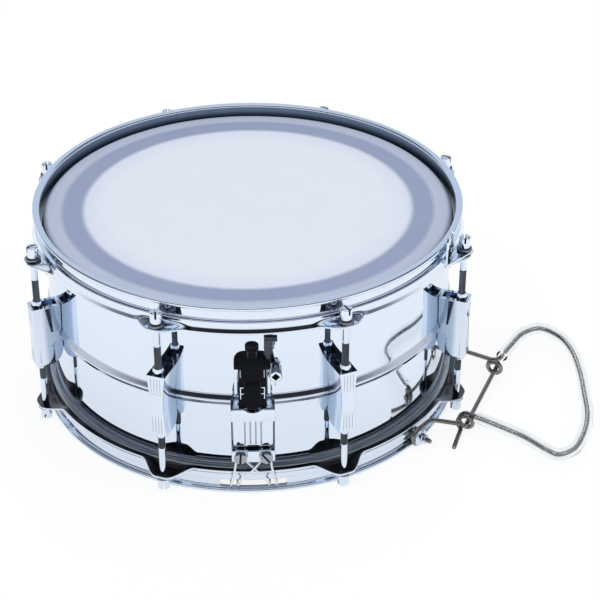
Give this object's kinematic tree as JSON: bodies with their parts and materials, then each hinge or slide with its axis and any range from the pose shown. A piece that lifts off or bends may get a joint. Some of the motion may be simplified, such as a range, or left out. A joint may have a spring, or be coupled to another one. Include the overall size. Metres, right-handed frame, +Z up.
{
  "type": "marching snare drum",
  "caption": "Marching snare drum with two tensioned heads, steel hoops and lugs, a lever snare strainer with a fine tension knob, and a fold-up wire leg rest.",
  "frame": {"origin": "centre of the batter head's playing face", "axes": "+Z up along the drum's axis, out of the batter head; -Y to the snare strainer; +X to the leg rest's side"},
  "size_m": [0.4959, 0.4117, 0.1932],
  "materials": {
    "chrome": "polished",
    "head_film": "satin translucent film",
    "damping_film": "satin film",
    "aluminium": "satin",
    "black_parts": "satin black",
    "steel_wire": "dull",
    "snare_steel": "drawn wire",
    "cord": "braided",
    "clear_vinyl": "clear soft tube",
    "washer_grey": "satin"
  },
  "bodies": {
    "drum": {"shell": "chrome", "batter_hoop": "chrome", "snare_hoop": "chrome", "strainer_base": "chrome", "rear_cord_clamp": "chrome", "butt_bracket": "chrome", "hook_bracket": "chrome", "leg_rest_bolt_1": "chrome", "leg_rest_bolt_2": "chrome", "rear_clamp_screw_left": "chrome", "rear_clamp_screw_right": "chrome", "lug_1": "chrome", "lug_2": "chrome", "lug_3": "chrome", "lug_4": "chrome", "lug_5": "chrome", "lug_6": "chrome", "lug_7": "chrome", "lug_8": "chrome", "batter_film": "head_film", "snare_film": "head_film", "batter_damping_ring": "damping_film", "batter_flesh_hoop": "aluminium", "snare_flesh_hoop": "aluminium", "strainer_housing": "black_parts", "leg_rest_bracket": "steel_wire", "snare_wires": "snare_steel", "front_cord_left": "cord", "front_cord_right": "cord", "rear_cord_left": "cord", "rear_cord_right": "cord", "leg_rest_spacer_1": "washer_grey", "leg_rest_spacer_2": "washer_grey"},
    "lever": {"throw_off_lever": "chrome", "lever_hub": "chrome"},
    "slide": {"release_slide": "black_parts"},
    "carriage": {"snare_carriage": "chrome", "front_cord_clamp": "chrome", "front_clamp_screw_left": "chrome", "front_clamp_screw_right": "chrome"},
    "knob": {"tension_knob": "black_parts", "tension_screw": "steel_wire"},
    "leg_loop": {"leg_rest_loop": "steel_wire", "leg_rest_sleeve": "clear_vinyl"},
    "rod_batter_1": {"tension_rod_batter_1": "chrome"},
    "rod_snare_1": {"tension_rod_snare_1": "chrome"},
    "rod_batter_2": {"tension_rod_batter_2": "chrome"},
    "rod_snare_2": {"tension_rod_snare_2": "chrome"},
    "rod_batter_3": {"tension_rod_batter_3": "chrome"},
    "rod_snare_3": {"tension_rod_snare_3": "chrome"},
    "rod_batter_4": {"tension_rod_batter_4": "chrome"},
    "rod_snare_4": {"tension_rod_snare_4": "chrome"},
    "rod_batter_5": {"tension_rod_batter_5": "chrome"},
    "rod_snare_5": {"tension_rod_snare_5": "chrome"},
    "rod_batter_6": {"tension_rod_batter_6": "chrome"},
    "rod_snare_6": {"tension_rod_snare_6": "chrome"},
    "rod_batter_7": {"tension_rod_batter_7": "chrome"},
    "rod_snare_7": {"tension_rod_snare_7": "chrome"},
    "rod_batter_8": {"tension_rod_batter_8": "chrome"},
    "rod_snare_8": {"tension_rod_snare_8": "chrome"}
  },
  "joints": [
    {"name": "rod_batter_1_turn", "type": "hinge", "parent": "drum", "child": "rod_batter_1", "pos_m": [0.07508, -0.18127, -0.0234], "axis": [0, 0, 1], "continuous": true},
    {"name": "rod_snare_1_turn", "type": "hinge", "parent": "drum", "child": "rod_snare_1", "pos_m": [0.07508, -0.18127, -0.1414], "axis": [0, 0, 1], "continuous": true},
    {"name": "rod_batter_2_turn", "type": "hinge", "parent": "drum", "child": "rod_batter_2", "pos_m": [0.18127, -0.07508, -0.0234], "axis": [0, 0, 1], "continuous": true},
    {"name": "rod_snare_2_turn", "type": "hinge", "parent": "drum", "child": "rod_snare_2", "pos_m": [0.18127, -0.07508, -0.1414], "axis": [0, 0, 1], "continuous": true},
    {"name": "rod_batter_3_turn", "type": "hinge", "parent": "drum", "child": "rod_batter_3", "pos_m": [0.18127, 0.07508, -0.0234], "axis": [0, 0, 1], "continuous": true},
    {"name": "rod_snare_3_turn", "type": "hinge", "parent": "drum", "child": "rod_snare_3", "pos_m": [0.18127, 0.07508, -0.1414], "axis": [0, 0, 1], "continuous": true},
    {"name": "rod_batter_4_turn", "type": "hinge", "parent": "drum", "child": "rod_batter_4", "pos_m": [0.07508, 0.18127, -0.0234], "axis": [0, 0, 1], "continuous": true},
    {"name": "rod_snare_4_turn", "type": "hinge", "parent": "drum", "child": "rod_snare_4", "pos_m": [0.07508, 0.18127, -0.1414], "axis": [0, 0, 1], "continuous": true},
    {"name": "rod_batter_5_turn", "type": "hinge", "parent": "drum", "child": "rod_batter_5", "pos_m": [-0.07508, 0.18127, -0.0234], "axis": [0, 0, 1], "continuous": true},
    {"name": "rod_snare_5_turn", "type": "hinge", "parent": "drum", "child": "rod_snare_5", "pos_m": [-0.07508, 0.18127, -0.1414], "axis": [0, 0, 1], "continuous": true},
    {"name": "rod_batter_6_turn", "type": "hinge", "parent": "drum", "child": "rod_batter_6", "pos_m": [-0.18127, 0.07508, -0.0234], "axis": [0, 0, 1], "continuous": true},
    {"name": "rod_snare_6_turn", "type": "hinge", "parent": "drum", "child": "rod_snare_6", "pos_m": [-0.18127, 0.07508, -0.1414], "axis": [0, 0, 1], "continuous": true},
    {"name": "rod_batter_7_turn", "type": "hinge", "parent": "drum", "child": "rod_batter_7", "pos_m": [-0.18127, -0.07508, -0.0234], "axis": [0, 0, 1], "continuous": true},
    {"name": "rod_snare_7_turn", "type": "hinge", "parent": "drum", "child": "rod_snare_7", "pos_m": [-0.18127, -0.07508, -0.1414], "axis": [0, 0, 1], "continuous": true},
    {"name": "rod_batter_8_turn", "type": "hinge", "parent": "drum", "child": "rod_batter_8", "pos_m": [-0.07508, -0.18127, -0.0234], "axis": [0, 0, 1], "continuous": true},
    {"name": "rod_snare_8_turn", "type": "hinge", "parent": "drum", "child": "rod_snare_8", "pos_m": [-0.07508, -0.18127, -0.1414], "axis": [0, 0, 1], "continuous": true},
    {"name": "lever_swing", "type": "hinge", "parent": "drum", "child": "lever", "pos_m": [0.0185, -0.192, -0.0418], "axis": [0, 1, 0], "range_deg": [0, 95]},
    {"name": "slide_drop", "type": "slide", "parent": "drum", "child": "slide", "axis": [0, 0, -1], "range_m": [0, 0.006], "deforming": ["front_cord_left", "front_cord_right"]},
    {"name": "knob_turn", "type": "hinge", "parent": "drum", "child": "knob", "pos_m": [0, -0.1925, -0.0284], "axis": [0, 0, 1], "range_deg": [-720, 720]},
    {"name": "carriage_adjust", "type": "slide", "parent": "slide", "child": "carriage", "axis": [0, 0, 1], "range_m": [-0.002, 0.002], "deforming": ["front_cord_left", "front_cord_right"]},
    {"name": "leg_loop_fold", "type": "hinge", "parent": "drum", "child": "leg_loop", "pos_m": [0.19701, -0.08485, -0.1646], "axis": [-0.3955, -0.9184, 0], "range_deg": [-38, 46]}
  ],
  "couplings": [
    {"joint": "lever_swing", "follows": "slide_drop", "rad_per_m": 276.34},
    {"joint": "knob_turn", "follows": "carriage_adjust", "rad_per_m": 6283}
  ]
}
